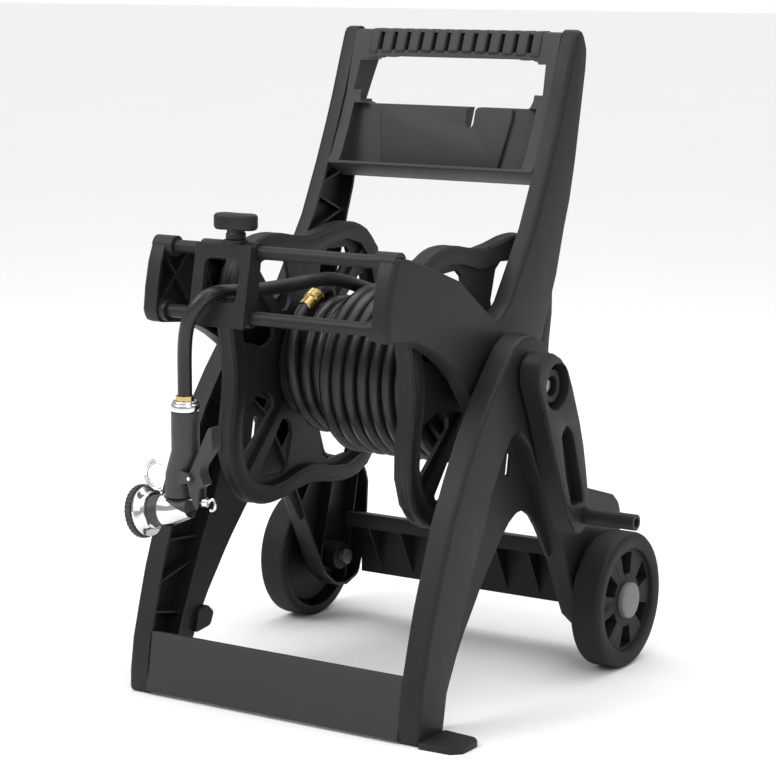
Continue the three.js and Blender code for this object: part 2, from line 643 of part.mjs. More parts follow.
function nozzleBody() {
  const y = NOZZLE.y;
  const level = (x, z, r) => discZ(r, z, z + 2, x, y, 24);
  const levels = [level(NOZZLE.x, NOZZLE.z - 2, GRIP_HALF), level(NOZZLE.x, 346, GRIP_HALF),
    level(-120, 314, 15.5), level(-119, 286, 17)];
  const grip = levels.slice(1).map((low, i) => wasm.Manifold.hull([levels[i], low]));
  const ears = [-1, 1].map((s) => {
    const a = y + s * (TRIGGER_HALF + GAP);
    const b = y + s * (TRIGGER_HALF + 4);
    const [px, pz] = TRIGGER_PIN;
    const lug = [[-118, pz - 12], [px, pz - 6], [px + 6, pz], [px, pz + 6], [-118, pz + 12]];
    return slabY(outline(lug, 3), Math.min(a, b), Math.max(a, b));
  });
  const cover = headBarrel().intersect(alongHead(ring(40, 40, BARREL_END - 1, 6)));
  const hole = discY(2.5 + GAP, y - 30, y + 30, ...TRIGGER_PIN);
  const stem = discX(2.5 + GAP, -112, -90, y, STEM_Z, 16);
  const body = union([...grip, cover]).intersect(aboveSlant(0));
  return union([body, ...ears]).subtract(union([hole, stem]));
}

function nozzleBarrel() {
  const whole = headBarrel();
  const front = whole.intersect(alongHead(ring(40, 40, 6 + GAP, SLEEVE_END + 1)));
  const grip = discZ(18, 284, 320, -119, NOZZLE.y, 24);
  return union([whole.subtract(aboveSlant(GAP)), front]).subtract(grip);
}

function nozzleTrigger() {
  const y = NOZZLE.y;
  const lever = slabY(outline(TRIGGER_OUTLINE, 4), y - TRIGGER_HALF, y + TRIGGER_HALF);
  const fork = box(-110, -50, y - 4, y + 4, 260, 300);
  return lever.subtract(union([discY(2.5 + GAP, y - 30, y + 30, ...TRIGGER_PIN), fork]));
}

function flowStem() {
  const y = NOZZLE.y;
  const rod = discX(2.5, -110, -78, y, STEM_Z, 16);
  const knob = spinX([[0, -79.5], [4, -79.5], [6.5, -77], [6.5, -72], [4, -70], [0, -70]], y, STEM_Z, 20);
  const hook = sweep([[-71, y, 283], [-64, y, 288], [-59, y, 282], [-62, y, 274], [-67, y, 273]], 2, 6, 10);
  return union([rod, knob, hook]);
}

function hangingLoop() {
  const y = NOZZLE.y;
  const path = [[-134.5, y, 323], [-145, y, 327], [-157, y, 328], [-169, y, 319], [-172, y, 308],
    [-167, y, 299], [-156, y, 292.5], [-146, y, 291.8]];
  return sweep(path, 2.4, 6, 16);
}

function buildNozzle() {
  const { x, y, z } = NOZZLE;
  add("hose_lead", sweep(LEAD_PATH, HOSE_R, 8, 40), HOSE);
  const top = LEAD_END - 1;
  const bore = HOSE_R + GAP;
  const ferrule = [[bore, top], [12, top], [12, top + 6], [bore, top + 6], [bore, top]];
  add("hose_ferrule", spinZ(ferrule, x, y, 20), BRASS);
  const collar = [
    [0, z + GAP], [17, z + GAP], [18.5, z + 3], [18.5, z + 10], [16, top - GAP], [0, top - GAP],
  ];
  add("nozzle_collar", spinZ(collar, x, y, 24), CHROME);
  add("nozzle_body", nozzleBody(), NOZZLE_GREY);
  add("nozzle_barrel", nozzleBarrel(), CHROME);
  add("nozzle_trigger", nozzleTrigger(), NOZZLE_GREY);
  add("trigger_pin", discY(2.5, y - TRIGGER_HALF - 5, y + TRIGGER_HALF + 5, ...TRIGGER_PIN), CHROME);
  add("flow_stem", flowStem(), CHROME);
  add("nozzle_loop", hangingLoop(), CHROME);
  add("nozzle_neck", alongHead(ring(20.5, 20.5, SLEEVE_END + GAP, NECK_END)), NOZZLE_GREY);
  const a = NECK_END + GAP;
  const dish = [[0, a], [24, a], [33, DISH_END - 5], [33, DISH_END], [0, DISH_END]];
  add("nozzle_dish", alongHead(dish, 28), CHROME);
  add("nozzle_ring", alongHead(ring(35.5, 35.5, DISH_END + GAP, RING_END), 28), GREEN_GREY);
}

// ---- build --------------------------------------------------------------------------------------
function buildFrame() {
  const side = sideFrame();
  add("side_frame_right", side, DARK);
  add("side_frame_left", mirrored(side), DARK);
  add("leg_right", leg(false), DARK);
  add("leg_left", mirrored(leg(true)), DARK);
  add("handle_insert", handleInsert(), GREY);
  add("front_crossbar", frontCrossbar(), GREY);
  add("rear_crossbar", rearCrossbar(), DARK);
  add("step_plate", stepPlate(), DARK);
  add("axle_pin_right", axlePin(), STEEL);
  add("axle_pin_left", mirrored(axlePin()), STEEL);
  for (const [name, b] of [["guide_bar_upper", BAR_HI], ["guide_bar_lower", BAR_LO]]) {
    add(name, discX(BAR_R, -FRAME_IN - 12, FRAME_IN + 12, b.y, b.z, 24), DARK);
  }
  const bush = ringX(SHAFT_R + RUN, SHAFT_R + 5, FRAME_IN + 1, FRAME_OUT, REEL_Y, REEL_Z, 24);
  add("reel_bearing_right", bush, WHITE);
  add("reel_bearing_left", mirrored(bush), WHITE);
}

function buildReel() {
  const f = flange();
  add("flange_right", f, DARK);
  add("flange_left", mirrored(f), DARK);
  add("reel_drum", drum(), DARK);
  const shaft = ringX(6, SHAFT_R, -FRAME_OUT, FRAME_OUT - GAP, REEL_Y, REEL_Z, 24);
  add("reel_shaft", shaft, DARK);
  add("hose_winding", winding(), HOSE);
  add("hose_tail", hoseTail(), HOSE);
  add("outlet_elbow", outletElbow(), DARK);
  add("hose_coupling", hoseCoupling(), BRASS);
  add("crank_arm", crankArm(), DARK);
  add("crank_bolt", crankBolt(), STEEL);
  add("grip_pin", discX(PIN_R, CRANK_IN + 2, GRIP_END - 9, GRIP_Y, GRIP_Z, 24), STEEL);
  add("crank_grip", crankGrip(), DARK);
  add("inlet_tube", inletTube(), DARK);
  add("inlet_nut", inletNut(), BRASS);
}

function buildWheels() {
  const w = wheel();
  add("wheel_right", w, DARK);
  add("wheel_left", mirrored(w), DARK);
  add("hub_cap_right", hubCap(), CAP_GREY);
  add("hub_cap_left", mirrored(hubCap()), CAP_GREY);
}

buildFrame();
buildReel();
buildWheels();
add("guide_body", guideBody(), DARK);
add("guide_knob", guideKnob(), DARK);
buildNozzle();
root.position.set(SHIFT_X, SHIFT_Y, 0);

export default root;
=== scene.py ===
"""Finished look of a garden hose reel cart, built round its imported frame.

Everything is in metres in the row frame: +X is the crank side, +Y the wheel side, +Z up.
"""

import logging
import math
from dataclasses import dataclass, field
from enum import Enum
from typing import Iterable, Sequence

import bmesh
import bpy
from mathutils import Matrix, Vector


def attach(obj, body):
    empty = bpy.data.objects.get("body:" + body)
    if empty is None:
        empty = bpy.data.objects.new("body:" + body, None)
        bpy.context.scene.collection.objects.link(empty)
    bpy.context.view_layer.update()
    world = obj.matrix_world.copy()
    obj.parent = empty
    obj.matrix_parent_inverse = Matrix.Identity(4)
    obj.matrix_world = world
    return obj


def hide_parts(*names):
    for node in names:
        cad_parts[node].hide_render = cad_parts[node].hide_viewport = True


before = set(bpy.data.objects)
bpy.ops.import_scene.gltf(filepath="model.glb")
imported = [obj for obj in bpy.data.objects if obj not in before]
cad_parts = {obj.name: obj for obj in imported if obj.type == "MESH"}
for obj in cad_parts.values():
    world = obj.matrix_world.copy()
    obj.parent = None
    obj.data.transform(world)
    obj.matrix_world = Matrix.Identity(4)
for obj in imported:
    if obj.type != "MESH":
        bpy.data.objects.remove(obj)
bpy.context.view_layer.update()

LOG = logging.getLogger("hose_cart")
Point = tuple[float, float, float]
MM = 0.001
SHIFT_X = -28.0
SHIFT_Y = -55.5
HOSE_R = 9.5
REEL_Y = 67.0
REEL_Z = 420.0


def place(x: float, y: float, z: float) -> Vector:
    """A point of the cart's drawing, in millimetres, as a point of the row frame."""
    return Vector(((x + SHIFT_X) * MM, (y + SHIFT_Y) * MM, z * MM))


def round_reel(x: float, radius: float, degrees: float) -> Vector:
    """The row frame point at a distance and an angle round the reel's axis."""
    a = math.radians(degrees)
    return place(x, REEL_Y + radius * math.cos(a), REEL_Z + radius * math.sin(a))


def smooth_step(share: float) -> float:
    """Eases a share from 0 to 1, level at both ends."""
    share = min(1.0, share)
    return share * share * (3 - 2 * share)


# ---- shader graphs ------------------------------------------------------------------------------
class Signal:
    """A shader socket that carries one number and takes part in Python arithmetic."""

    def __init__(self, graph: "Graph", socket: bpy.types.NodeSocket) -> None:
        """Holds the socket and the graph that it belongs to."""
        self.graph = graph
        self.socket = socket

    def combine(self, operation: str, first: object, second: object) -> "Signal":
        """Adds one Math node.

        Args:
            operation: the Math node's operation.
            first: a Signal or a number for the first socket.
            second: a Signal or a number for the second socket.

        Returns:
            The node's result.
        """
        made = self.graph.node(
            "ShaderNodeMath", {"operation": operation}, {0: first, 1: second}
        )
        return Signal(self.graph, made.outputs[0])

    def __add__(self, other: object) -> "Signal":
        """Sum."""
        return self.combine("ADD", self, other)

    def __radd__(self, other: object) -> "Signal":
        """Sum with the number first."""
        return self.combine("ADD", other, self)

    def __sub__(self, other: object) -> "Signal":
        """Difference."""
        return self.combine("SUBTRACT", self, other)

    def __rsub__(self, other: object) -> "Signal":
        """Difference with the number first."""
        return self.combine("SUBTRACT", other, self)

    def __mul__(self, other: object) -> "Signal":
        """Product."""
        return self.combine("MULTIPLY", self, other)

    def __rmul__(self, other: object) -> "Signal":
        """Product with the number first."""
        return self.combine("MULTIPLY", other, self)

    def spread(self, low: float, high: float) -> "Signal":
        """The signal stretched so that low becomes 0 and high becomes 1, clamped."""
        made = self.graph.node(
            "ShaderNodeMapRange",
            {"clamp": True},
            {0: self, 1: low, 2: high, 3: 0.0, 4: 1.0},
        )
        return Signal(self.graph, made.outputs[0])


class Graph:
    """The node tree of one material."""

    def __init__(self, name: str) -> None:
        """Makes an empty material with its shader and output."""
        self.material = bpy.data.materials.new(name)
        self.material.use_nodes = True
        self.tree = self.material.node_tree
        self.tree.nodes.clear()
        self.shader = self.node("ShaderNodeBsdfPrincipled", {}, {})
        output = self.node("ShaderNodeOutputMaterial", {}, {})
        self.tree.links.new(self.shader.outputs[0], output.inputs[0])
        self.coordinates = self.node("ShaderNodeTexCoord", {}, {}).outputs["Object"]

    def node(self, kind: str, settings: dict, inputs: dict) -> bpy.types.Node:
        """Adds a node of any type.

        Args:
            kind: the node's type name.
            settings: properties that are set first.
            inputs: a value, a Signal or a socket for each input, by name or index.

        Returns:
            The new node.
        """
        made = self.tree.nodes.new(kind)
        for key, value in settings.items():
            setattr(made, key, value)
        for key, value in inputs.items():
            self.feed(made.inputs[key], value)
        return made

    def feed(self, socket: bpy.types.NodeSocket, value: object) -> None:
        """Links a socket or a Signal to an input, or sets its number or colour."""
        if isinstance(value, Signal):
            self.tree.links.new(value.socket, socket)
        elif isinstance(value, bpy.types.NodeSocket):
            self.tree.links.new(value, socket)
        elif isinstance(value, (tuple, list)) and len(value) == 3 and socket.type == "RGBA":
            socket.default_value = (*value, 1.0)
        else:
            socket.default_value = value

    def noise(self, scale: float, detail: float = 3.0, stretch: Point = (1, 1, 1)) -> Signal:
        """Noise from 0 to 1 in object coordinates, stretched along the axes."""
        where = self.node(
            "ShaderNodeMapping", {}, {"Vector": self.coordinates, "Scale": stretch}
        ).outputs[0]
        made = self.node(
            "ShaderNodeTexNoise", {}, {"Vector": where, "Scale": scale, "Detail": detail}
        )
        return Signal(self, made.outputs[0])

    def cells(self, scale: float) -> Signal:
        """Distance to the nearest cell centre, for a moulded grain."""
        made = self.node(
            "ShaderNodeTexVoronoi", {}, {"Vector": self.coordinates, "Scale": scale}
        )
        return Signal(self, made.outputs["Distance"])

    def edges(self, radius: float) -> Signal:
        """About 1 on a piece's convex edges and 0 on its flats."""
        soft = self.node("ShaderNodeBevel", {"samples": 4}, {"Radius": radius}).outputs[0]
        plain = self.node("ShaderNodeNewGeometry", {}, {}).outputs["Normal"]
        dot = self.node(
            "ShaderNodeVectorMath", {"operation": "DOT_PRODUCT"}, {0: soft, 1: plain}
        ).outputs["Value"]
        return (1.0 - Signal(self, dot)).spread(0.01, 0.16)

    def upward(self) -> Signal:
        """1 on faces that look straight up, 0 on walls."""
        normal = self.node("ShaderNodeNewGeometry", {}, {}).outputs["Normal"]
        parts = self.node("ShaderNodeSeparateXYZ", {}, {0: normal})
        return Signal(self, parts.outputs[2]).spread(0.35, 1.0)

    def mix(self, share: Signal, low: Point, high: Point) -> bpy.types.NodeSocket:
        """A colour between two colours."""
        made = self.node(
            "ShaderNodeMix",
            {"data_type": "RGBA"},
            {"Factor": share},
        )
        self.feed(made.inputs[6], low)
        self.feed(made.inputs[7], high)
        return made.outputs[2]

    def bump(self, height: Signal, distance: float, radius: float = 0.0) -> None:
        """Feeds the shader's normal with a bump on rounded edges."""
        inputs: dict = {"Height": height, "Distance": distance, "Strength": 1.0}
        if radius > 0:
            rounded = self.node("ShaderNodeBevel", {"samples": 4}, {"Radius": radius})
            inputs["Normal"] = rounded.outputs[0]
        made = self.node("ShaderNodeBump", {}, inputs)
        self.feed(self.shader.inputs["Normal"], made.outputs[0])


# ---- finishes -----------------------------------------------------------------------------------
@dataclass(frozen=True)
class Moulding:
    """A moulded plastic with a fine grain, a little dust and rubbed edges."""

    name: str
    colour: Point
    roughness: float = 0.5
    grain: float = 0.00006
    specular: float = 0.3
    wear: float = 0.5
    slot: str = "dark"

    def material(self) -> bpy.types.Material:
        """The finish as a material."""
        g = Graph(self.name)
        blotch = g.noise(9.0, 4.0)
        streak = g.noise(60.0, 5.0, (1.0, 1.0, 0.15))
        grain = g.cells(900.0) * 0.6 + g.noise(1500.0, 2.0) * 0.4
        rub = g.edges(0.0016) * g.noise(120.0, 3.0).spread(0.3, 0.65) * self.wear
        dust = g.upward() * blotch.spread(0.35, 0.75) * 0.5
        base = tuple(0.9 * c for c in self.colour)
        light = tuple(1.16 * c for c in self.colour)
        worn = tuple(min(1.0, 2.6 * c + 0.012) for c in self.colour)
        body = g.mix(blotch * 0.6 + streak * 0.4, base, light)
        body = g.mix(rub + dust * 0.18, body, worn)
        g.feed(g.shader.inputs["Base Color"], body)
        gloss = self.roughness + (blotch - 0.5) * 0.16 + (streak - 0.5) * 0.1 - rub * 0.12
        g.feed(g.shader.inputs["Roughness"], gloss + dust * 0.12)
        g.shader.inputs["Specular IOR Level"].default_value = self.specular
        g.bump(grain + streak * 0.35, self.grain, 0.0009)
        return g.material


@dataclass(frozen=True)
class Metal:
    """A bare or plated metal with faint smears, fine marks and tarnish."""

    name: str
    colour: Point
    roughness: float = 0.12
    tarnish: float = 0.25
    slot: str = "chrome"

    def material(self) -> bpy.types.Material:
        """The finish as a material."""
        g = Graph(self.name)
        smear = g.noise(45.0, 4.0)
        marks = g.noise(500.0, 3.0, (1.0, 1.0, 0.06))
        dull = tuple(c * (1.0 - self.tarnish) for c in self.colour)
        spots = smear.spread(0.42, 0.75)
        g.feed(g.shader.inputs["Base Color"], g.mix(spots, self.colour, dull))
        g.feed(
            g.shader.inputs["Roughness"],
            self.roughness + spots * 0.16 + (marks - 0.5) * 0.14,
        )
        g.shader.inputs["Metallic"].default_value = 1.0
        g.bump(marks + smear * 0.5, 0.00003, 0.0006)
        return g.material


@dataclass(frozen=True)
class Vinyl:
    """The hose's extruded skin: glossy, with soft waviness and a little dust."""

    name: str
    colour: Point
    roughness: float = 0.2
    slot: str = "hose"

    def material(self) -> bpy.types.Material:
        """The finish as a material."""
        g = Graph(self.name)
        wave = g.noise(38.0, 2.0)
        fine = g.noise(420.0, 3.0)
        haze = g.noise(14.0, 4.0).spread(0.45, 0.8)
        dusty = tuple(2.6 * c + 0.008 for c in self.colour)
        dust = haze * 0.35 + g.upward() * 0.12
        g.feed(g.shader.inputs["Base Color"], g.mix(dust, self.colour, dusty))
        g.feed(g.shader.inputs["Roughness"], self.roughness + haze * 0.14 + (fine - 0.5) * 0.1)
        g.shader.inputs["Specular IOR Level"].default_value = 0.4
        g.shader.inputs["Coat Roughness"].default_value = 0.2
        g.feed(g.shader.inputs["Coat Weight"], 0.12 + (0.5 - haze) * 0.16)
        g.bump(wave + fine * 0.06, 0.0006)
        return g.material


class Finish(Enum):
    """The finishes of the cart."""

    DARK = Moulding("dark moulding", (0.0125, 0.0128, 0.0135), 0.5)
    GREY = Moulding("charcoal moulding", (0.033, 0.034, 0.0355), 0.55, slot="grey")
    CAP = Moulding("hub cap moulding", (0.16, 0.163, 0.165), 0.45, slot="cap")
    TYRE = Moulding("wheel moulding", (0.011, 0.0112, 0.0118), 0.6, 0.00009, 0.25)
    NOZZLE = Moulding("nozzle grip", (0.036, 0.038, 0.04), 0.42, 0.00005, 0.4, 0.4, "nozzle")
    KNURL = Moulding("nozzle front ring", (0.03, 0.038, 0.033), 0.5, 0.00006, 0.35, 0.4, "green")
    BEARING = Moulding("bearing", (0.62, 0.62, 0.6), 0.4, slot="white")
    CHROME = Metal("bright plating", (0.82, 0.83, 0.84), 0.08, 0.18)
    STEEL = Metal("zinc plated steel", (0.58, 0.59, 0.6), 0.3, 0.25, "steel")
    BRASS = Metal("machined brass", (0.78, 0.56, 0.24), 0.2, 0.35, "brass")
    HOSE = Vinyl("hose skin", (0.0085, 0.0088, 0.0095), 0.34)


class Paint:
    """Makes each finish's material once and dresses pieces with it."""

    made: dict[Finish, bpy.types.Material] = {}

    @classmethod
    def on(cls, piece: bpy.types.Object, finish: Finish) -> bpy.types.Object:
        """Gives a piece one finish.

        Args:
            piece: the object to dress.
            finish: the finish that it takes.

        Returns:
            The same object.
        """
        if finish not in cls.made:
            cls.made[finish] = finish.value.material()
        piece.data.materials.clear()
        piece.data.materials.append(cls.made[finish])
        return piece


# ---- shaping ------------------------------------------------------------------------------------
SMOOTH_ANGLE = math.radians(34)
FLAT_ANGLE = math.radians(0.5)
CLEARED = ("custom_normal", "sharp_face", "sharp_edge")


class Shape:
    """A bmesh that becomes one finished piece."""

    def __init__(self, name: str) -> None:
        """Starts an empty shape."""
        self.name = name
        self.bm = bmesh.new()

    def spin(
        self, profile: Sequence[tuple[float, float]], start: Vector, axis: Vector, steps: int = 64
    ) -> list[bmesh.types.BMVert]:
        """Turns an open (radius, distance) profile right round an axis.

        Args:
            profile: radius and distance along the axis, in millimetres.
            start: the axis's origin, in the row frame.
            axis: its direction.
            steps: segments in a full turn.

        Returns:
            The new vertices.
        """
        along = axis.normalized()
        side = along.orthogonal().normalized()
        line = [
            self.bm.verts.new(start + along * (h * MM) + side * (r * MM)) for r, h in profile
        ]
        edges = [self.bm.edges.new(pair) for pair in zip(line, line[1:])]
        before = set(self.bm.verts) - set(line)
        bmesh.ops.spin(
            self.bm, geom=line + edges, cent=start, axis=along, angle=math.tau,
            steps=steps, use_merge=True, use_duplicate=False,
        )
        return [v for v in self.bm.verts if v not in before]

    def slab(self, corners: Sequence[Vector], push: Vector) -> list[bmesh.types.BMVert]:
        """Extrudes a flat outline.

        Args:
            corners: the outline's corners in order.
            push: the way and the distance that it is extruded.

        Returns:
            The new vertices.
        """
        face = self.bm.faces.new([self.bm.verts.new(c) for c in corners])
        grown = bmesh.ops.extrude_face_region(self.bm, geom=[face])["geom"]
        moved = [v for v in grown if isinstance(v, bmesh.types.BMVert)]
        bmesh.ops.translate(self.bm, verts=moved, vec=push)
        self.bm.faces.ensure_lookup_table()
        return moved

    def round_edges(self, width: float, segments: int = 3, least: float = 30.0) -> None:
        """Bevels every edge that is sharper than an angle, width in millimetres."""
        bmesh.ops.remove_doubles(self.bm, verts=self.bm.verts, dist=1e-6)
        bmesh.ops.recalc_face_normals(self.bm, faces=self.bm.faces)
        sharp = [
            e for e in self.bm.edges
            if e.is_manifold and e.calc_face_angle(0.0) > math.radians(least)
        ]
        bmesh.ops.bevel(
            self.bm, geom=sharp, offset=width * MM, offset_type="OFFSET", segments=segments,
            profile=0.5, affect="EDGES", clamp_overlap=True, material=-1,
        )

    def finish(self, body: str, finish: Finish, replaces: Iterable[str] = ()) -> bpy.types.Object:
        """Closes the shape, shades it smooth and hands it to its body.

        Args:
            body: the CAD body that the piece rides on.
            finish: what it is dressed in.
            replaces: the CAD nodes that it stands for.

        Returns:
            The finished object.
        """
        bmesh.ops.remove_doubles(self.bm, verts=self.bm.verts, dist=2e-6)
        bmesh.ops.recalc_face_normals(self.bm, faces=self.bm.faces)
        mesh = bpy.data.meshes.new(self.name)
        self.bm.to_mesh(mesh)
        self.bm.free()
        return hand_over(self.name, mesh, body, finish, replaces)


def hand_over(
    name: str, mesh: bpy.types.Mesh, body: str, finish: Finish, replaces: Iterable[str] = ()
) -> bpy.types.Object:
    """Turns a mesh into a riding, dressed piece.

    Args:
        name: the piece's name.
        mesh: its mesh, already in place.
        body: the CAD body that it rides on.
        finish: what it is dressed in.
        replaces: the CAD nodes that it stands for.

    Returns:
        The new object.
    """
    for face in mesh.polygons:
        face.use_smooth = True
    mesh.set_sharp_from_angle(angle=SMOOTH_ANGLE)
    piece = bpy.data.objects.new(name, mesh)
    bpy.context.scene.collection.objects.link(piece)
    Paint.on(piece, finish)
    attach(piece, body)
    if replaces:
        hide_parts(*replaces)
    LOG.info("piece %s on %s", name, body)
    return piece


@dataclass(frozen=True)
class Rounding:
    """An outside face whose border is rounded over, by its distance from the middle plane."""

    plane: float
    width: float
    segments: int = 4
    skip: tuple[tuple[float, float, float], ...] = ()

    def borders(self, bm: bmesh.types.BMesh) -> list[bmesh.types.BMEdge]:
        """The edges between the outside face and the walls round it."""
        found = []
        for edge in bm.edges:
            if not edge.is_manifold or edge.calc_face_angle(0.0) < math.radians(40):
                continue
            if any(abs(abs(v.co.x - SHIFT_X * MM) - self.plane * MM) > 1e-5 for v in edge.verts):
                continue
            middle = (edge.verts[0].co + edge.verts[1].co) / 2
            y, z = middle.y / MM - SHIFT_Y, middle.z / MM
            if any(math.hypot(y - a, z - b) < r for a, b, r in self.skip):
                continue
            found.append(edge)
        return found

    def apply(self, bm: bmesh.types.BMesh) -> None:
        """Rounds those edges."""
        bmesh.ops.bevel(
            bm, geom=self.borders(bm), offset=self.width * MM, offset_type="OFFSET",
            segments=self.segments, profile=0.5, affect="EDGES", clamp_overlap=False, material=-1,
        )


def polished(
    node: str, body: str, finish: Finish, rounding: Rounding | None = None
) -> bpy.types.Object:
    """A CAD node's shape with its points joined, so that its round faces shade smoothly.

    Args:
        node: the CAD node.
        body: the body that it rides on.
        finish: what it is dressed in.
        rounding: an outside border to round over.

    Returns:
        The new object.
    """
    bm = bmesh.new()
    bm.from_mesh(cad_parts[node].data)
    bmesh.ops.remove_doubles(bm, verts=bm.verts, dist=5e-6)
    bmesh.ops.dissolve_limit(
        bm, angle_limit=FLAT_ANGLE, verts=bm.verts, edges=bm.edges, use_dissolve_boundaries=False
    )
    if rounding is not None:
        rounding.apply(bm)
    bmesh.ops.triangulate(bm, faces=bm.faces)
    mesh = bpy.data.meshes.new(node + "_moulding")
    bm.to_mesh(mesh)
    bm.free()
    for name in CLEARED:
        if name in mesh.attributes:
            mesh.attributes.remove(mesh.attributes[name])
    return hand_over(node + "_moulding", mesh, body, finish, [node])


def smooth_line(points: Sequence[Vector], pieces: int) -> list[Vector]:
    """A smooth curve through points, with the same weighting as the cart's drawing.

    Args:
        points: the points that it passes through.
        pieces: how many steps each stretch is cut into.

    Returns:
        The curve's points.
    """
    ends = [points[0] * 2 - points[1], *points, points[-1] * 2 - points[-2]]
    made: list[Vector] = []
    for a, b, c, d in zip(ends, ends[1:], ends[2:], ends[3:]):
        t1 = (b - a).length ** 0.5
        t2 = t1 + (c - b).length ** 0.5
        t3 = t2 + (d - c).length ** 0.5
        for i in range(pieces):
            t = t1 + (t2 - t1) * i / pieces
            p = a * ((t1 - t) / t1) + b * (t / t1)
            q = b * ((t2 - t) / (t2 - t1)) + c * ((t - t1) / (t2 - t1))
            r = c * ((t3 - t) / (t3 - t2)) + d * ((t - t2) / (t3 - t2))
            u = p * ((t2 - t) / t2) + q * (t / t2)
            v = q * ((t3 - t) / (t3 - t1)) + r * ((t - t1) / (t3 - t1))
            made.append(u * ((t2 - t) / (t2 - t1)) + v * ((t - t1) / (t2 - t1)))
    made.append(points[-1].copy())
    return made


def long_of(points: Sequence[Vector]) -> float:
    """The length of a line of points."""
    return sum((b - a).length for a, b in zip(points, points[1:]))


def tube(name: str, points: Sequence[Vector], radius: float, sides: int = 5) -> bpy.types.Object:
    """A round tube as a curve of one open spline.

    Args:
        name: the object's name.
        points: its centreline.
        radius: in millimetres.
        sides: the bevel's resolution.

    Returns:
        The curve object.
    """
    data = bpy.data.curves.new(name, "CURVE")
    data.dimensions = "3D"
    data.bevel_depth = radius * MM
    data.bevel_resolution = sides
    data.use_fill_caps = True
    spline = data.splines.new("POLY")
    spline.points.add(len(points) - 1)
    for spot, p in zip(spline.points, points):
        spot.co = (*p, 1.0)
    spline.use_smooth = True
    piece = bpy.data.objects.new(name, data)
    bpy.context.scene.collection.objects.link(piece)
    return piece


# ---- camera and studio ----------------------------------------------------------------------------
@dataclass
class Camera:
    """The viewpoint."""

    spot: Point = (1.77146, -2.78741, 0.96906)
    ahead: Point = (-0.5327831, 0.82889553, -0.17051207)
    right: Point = (0.84106389, 0.54093344, 0.00159921)
    lens: float = 114.815

    def build(self) -> bpy.types.Object:
        """Makes the camera and sets it as the scene's."""
        data = bpy.data.cameras.new("viewpoint")
        data.lens = self.lens
        data.sensor_width = 36.0
        data.clip_start = 0.05
        data.clip_end = 60.0
        made = bpy.data.objects.new("viewpoint", data)
        bpy.context.scene.collection.objects.link(made)
        right = Vector(self.right).normalized()
        back = -Vector(self.ahead).normalized()
        up = back.cross(right).normalized()
        turn = Matrix((right, up, back)).transposed().to_4x4()
        made.matrix_world = Matrix.Translation(Vector(self.spot)) @ turn
        bpy.context.scene.camera = made
        LOG.info("camera in place")
        return made


@dataclass
class Studio:
    """A plain pale floor under soft light."""

    floor_half: float = 40.0
    world: float = 0.4
    sky: float = 1.75

    def build(self) -> None:
        """Makes the floor, the lights and the surroundings."""
        self.floor()
        self.light("key", (-1.6, -2.2, 2.7), 1.7, 46.0)
        self.light("fill", (2.6, -1.6, 1.9), 1.6, 14.0)
        self.light("top", (0.2, 0.6, 3.0), 2.4, 30.0)
        self.sky_light()
        scene = bpy.context.scene
        scene.world = bpy.data.worlds.new("surroundings")
        scene.world.use_nodes = True
        tree = scene.world.node_tree
        dim = tree.nodes["Background"]
        dim.inputs[0].default_value = (1.0, 1.0, 1.0, 1.0)
        dim.inputs[1].default_value = self.world
        plain = tree.nodes.new("ShaderNodeBackground")
        plain.inputs[0].default_value = (1.0, 1.0, 1.0, 1.0)
        path = tree.nodes.new("ShaderNodeLightPath")
        choose = tree.nodes.new("ShaderNodeMixShader")
        tree.links.new(path.outputs["Is Camera Ray"], choose.inputs[0])
        tree.links.new(dim.outputs[0], choose.inputs[1])
        tree.links.new(plain.outputs[0], choose.inputs[2])
        tree.links.new(choose.outputs[0], tree.nodes["World Output"].inputs[0])
        scene.view_settings.view_transform = "Standard"
        LOG.info("studio in place")

    def floor(self) -> None:
        """The floor."""
        bm = bmesh.new()
        bmesh.ops.create_grid(bm, x_segments=2, y_segments=2, size=self.floor_half)
        mesh = bpy.data.meshes.new("floor")
        bm.to_mesh(mesh)
        bm.free()
        piece = bpy.data.objects.new("floor", mesh)
        bpy.context.scene.collection.objects.link(piece)
        g = Graph("floor paint")
        tone = g.noise(2.0, 2.0)
        g.feed(g.shader.inputs["Base Color"], g.mix(tone, (0.93, 0.93, 0.93), (0.95, 0.95, 0.95)))
        g.shader.inputs["Roughness"].default_value = 0.9
        g.shader.inputs["Specular IOR Level"].default_value = 0.1
        mesh.materials.append(g.material)

    def sky_light(self) -> None:
        """An even light from straight above that keeps the floor pale."""
        data = bpy.data.lights.new("sky", "SUN")
        data.energy = self.sky
        data.angle = math.radians(120)
        made = bpy.data.objects.new("sky", data)
        bpy.context.scene.collection.objects.link(made)

    def light(self, name: str, spot: Point, size: float, power: float) -> None:
        """A square soft light that faces the cart."""
        data = bpy.data.lights.new(name, "AREA")
        data.size = size
        data.energy = power
        made = bpy.data.objects.new(name, data)
        bpy.context.scene.collection.objects.link(made)
        toward = Vector((0.0, 0.0, 0.4)) - Vector(spot)
        made.rotation_euler = toward.to_track_quat("-Z", "Y").to_euler()
        made.location = spot


